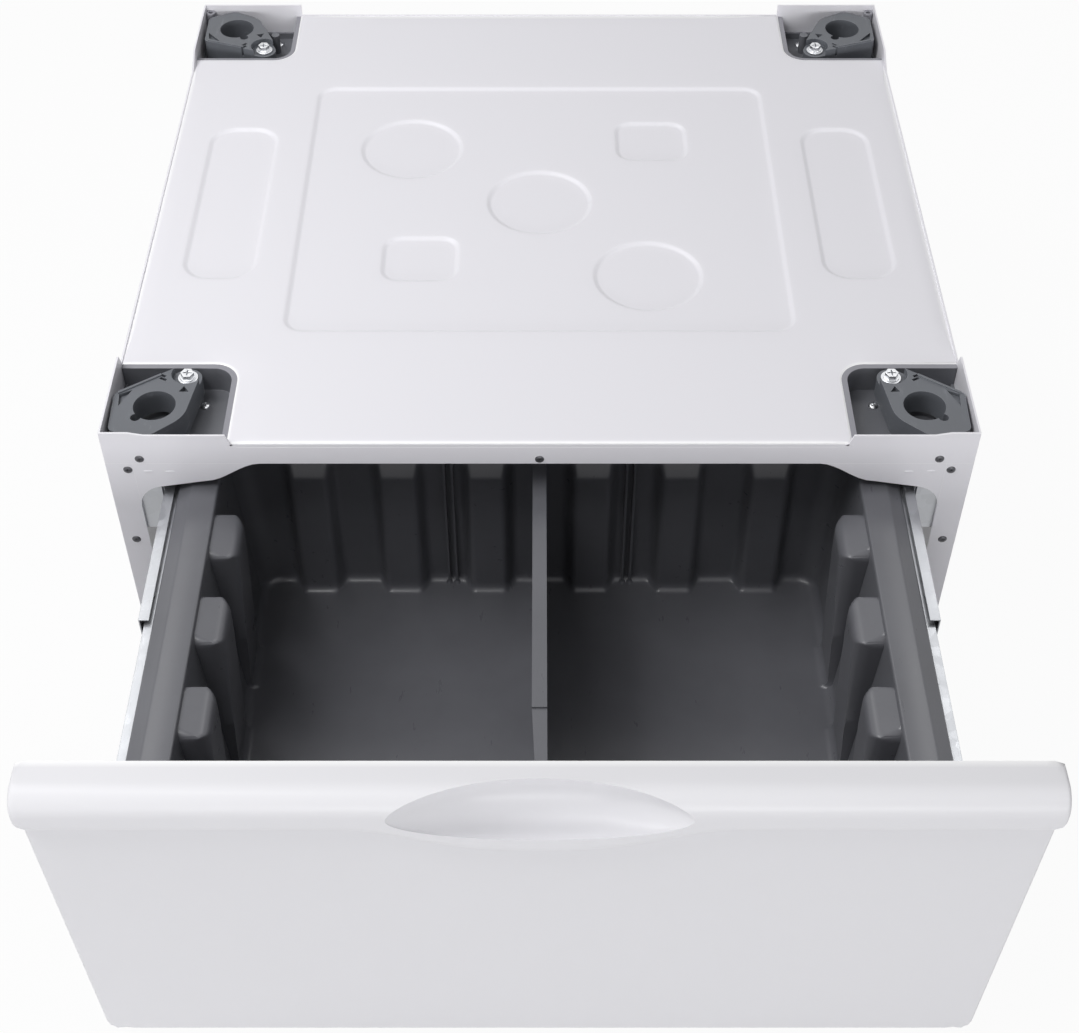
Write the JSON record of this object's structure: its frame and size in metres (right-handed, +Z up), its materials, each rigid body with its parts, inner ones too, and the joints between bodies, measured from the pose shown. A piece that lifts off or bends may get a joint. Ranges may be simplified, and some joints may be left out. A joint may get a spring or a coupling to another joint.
{
  "type": "washer pedestal drawer",
  "caption": "Laundry pedestal cabinet with a full-width storage drawer on ball slides, foot cups with swinging foot locks in its top corners and levelling feet.",
  "frame": {"origin": "on the floor, below the middle of the cabinet and of its four levelling feet", "axes": "+X to the right seen from the front, +Y to the back, +Z up; the drawer opens along -Y"},
  "size_m": [0.686, 0.9493, 0.381],
  "materials": {
    "cabinet_white": "satin powder coat",
    "front_white": "semi-gloss",
    "cup_grey": "matt moulded",
    "lock_grey": "matt moulded",
    "bin_grey": "fine-grained moulded",
    "slide_steel": "zinc plated",
    "zinc": "zinc plated",
    "dark_screw": "black oxide",
    "foot_rubber": "matt",
    "bumper_rubber": "matt"
  },
  "bodies": {
    "cabinet": {"top_panel": "cabinet_white", "side_panel_left": "cabinet_white", "side_panel_right": "cabinet_white", "back_panel": "cabinet_white", "front_rail": "cabinet_white", "corner_plate_left": "cabinet_white", "corner_plate_right": "cabinet_white", "base_rail_front": "cabinet_white", "base_rail_rear": "cabinet_white", "foot_bracket_front_left": "slide_steel", "foot_bracket_front_right": "slide_steel", "foot_bracket_rear_left": "slide_steel", "foot_bracket_rear_right": "slide_steel", "cup_tray_front_left": "cabinet_white", "cup_tray_front_right": "cabinet_white", "cup_tray_rear_left": "cabinet_white", "cup_tray_rear_right": "cabinet_white", "foot_cup_front_left": "cup_grey", "foot_cup_front_right": "cup_grey", "foot_cup_rear_left": "cup_grey", "foot_cup_rear_right": "cup_grey", "clamp_bolts": "zinc", "clamp_nuts": "zinc", "cup_screws": "zinc", "frame_screws": "dark_screw", "back_screws": "dark_screw", "foot_nuts": "zinc", "slide_bracket_left": "slide_steel", "slide_bracket_right": "slide_steel", "slide_cabinet_left": "slide_steel", "slide_cabinet_right": "slide_steel"},
    "slide_middle_left": {"slide_middle_left": "slide_steel"},
    "ball_cage_outer_left": {"ball_cage_outer_left": "slide_steel"},
    "ball_cage_inner_left": {"ball_cage_inner_left": "slide_steel"},
    "slide_middle_right": {"slide_middle_right": "slide_steel"},
    "ball_cage_outer_right": {"ball_cage_outer_right": "slide_steel"},
    "ball_cage_inner_right": {"ball_cage_inner_right": "slide_steel"},
    "foot_lock_front_left": {"foot_lock_front_left": "lock_grey"},
    "levelling_foot_front_left": {"levelling_foot_front_left": "foot_rubber"},
    "foot_lock_front_right": {"foot_lock_front_right": "lock_grey"},
    "levelling_foot_front_right": {"levelling_foot_front_right": "foot_rubber"},
    "foot_lock_rear_left": {"foot_lock_rear_left": "lock_grey"},
    "levelling_foot_rear_left": {"levelling_foot_rear_left": "foot_rubber"},
    "foot_lock_rear_right": {"foot_lock_rear_right": "lock_grey"},
    "levelling_foot_rear_right": {"levelling_foot_rear_right": "foot_rubber"},
    "drawer": {"slide_drawer_left": "slide_steel", "slide_drawer_right": "slide_steel", "drawer_front": "front_white", "front_liner": "cabinet_white", "drawer_bin": "bin_grey", "bin_divider": "bin_grey", "drawer_screws": "zinc", "drawer_bumpers": "bumper_rubber"}
  },
  "joints": [
    {"name": "drawer_slide", "type": "slide", "parent": "cabinet", "child": "drawer", "axis": [0, -1, 0], "range_m": [-0.289, 0]},
    {"name": "middle_slide_left", "type": "slide", "parent": "cabinet", "child": "slide_middle_left", "axis": [0, -1, 0], "range_m": [-0.1445, 0]},
    {"name": "outer_cage_roll_left", "type": "slide", "parent": "cabinet", "child": "ball_cage_outer_left", "axis": [0, -1, 0], "range_m": [-0.07225, 0]},
    {"name": "inner_cage_roll_left", "type": "slide", "parent": "cabinet", "child": "ball_cage_inner_left", "axis": [0, -1, 0], "range_m": [-0.21675, 0]},
    {"name": "middle_slide_right", "type": "slide", "parent": "cabinet", "child": "slide_middle_right", "axis": [0, -1, 0], "range_m": [-0.1445, 0]},
    {"name": "outer_cage_roll_right", "type": "slide", "parent": "cabinet", "child": "ball_cage_outer_right", "axis": [0, -1, 0], "range_m": [-0.07225, 0]},
    {"name": "inner_cage_roll_right", "type": "slide", "parent": "cabinet", "child": "ball_cage_inner_right", "axis": [0, -1, 0], "range_m": [-0.21675, 0]},
    {"name": "foot_lock_swing_front_left", "type": "hinge", "parent": "cabinet", "child": "foot_lock_front_left", "pos_m": [-0.279, -0.2355, 0.353], "axis": [0, 0, 1], "range_deg": [-2, 2]},
    {"name": "foot_lock_swing_front_right", "type": "hinge", "parent": "cabinet", "child": "foot_lock_front_right", "pos_m": [0.279, -0.2355, 0.353], "axis": [0, 0, 1], "range_deg": [-2, 2]},
    {"name": "foot_lock_swing_rear_left", "type": "hinge", "parent": "cabinet", "child": "foot_lock_rear_left", "pos_m": [-0.2703, 0.245, 0.353], "axis": [0, 0, 1], "range_deg": [-2, 2]},
    {"name": "foot_lock_swing_rear_right", "type": "hinge", "parent": "cabinet", "child": "foot_lock_rear_right", "pos_m": [0.2703, 0.245, 0.353], "axis": [0, 0, 1], "range_deg": [-2, 2]},
    {"name": "foot_turn_front_left", "type": "hinge", "parent": "cabinet", "child": "levelling_foot_front_left", "pos_m": [-0.3, -0.278, 0.03], "axis": [0, 0, 1], "continuous": true},
    {"name": "foot_turn_front_right", "type": "hinge", "parent": "cabinet", "child": "levelling_foot_front_right", "pos_m": [0.3, -0.278, 0.03], "axis": [0, 0, 1], "continuous": true},
    {"name": "foot_turn_rear_left", "type": "hinge", "parent": "cabinet", "child": "levelling_foot_rear_left", "pos_m": [-0.3, 0.278, 0.03], "axis": [0, 0, 1], "continuous": true},
    {"name": "foot_turn_rear_right", "type": "hinge", "parent": "cabinet", "child": "levelling_foot_rear_right", "pos_m": [0.3, 0.278, 0.03], "axis": [0, 0, 1], "continuous": true}
  ],
  "couplings": [
    {"joint": "middle_slide_left", "follows": "drawer_slide", "ratio": 0.5},
    {"joint": "outer_cage_roll_left", "follows": "drawer_slide", "ratio": 0.25},
    {"joint": "inner_cage_roll_left", "follows": "drawer_slide", "ratio": 0.75},
    {"joint": "middle_slide_right", "follows": "drawer_slide", "ratio": 0.5},
    {"joint": "outer_cage_roll_right", "follows": "drawer_slide", "ratio": 0.25},
    {"joint": "inner_cage_roll_right", "follows": "drawer_slide", "ratio": 0.75}
  ]
}
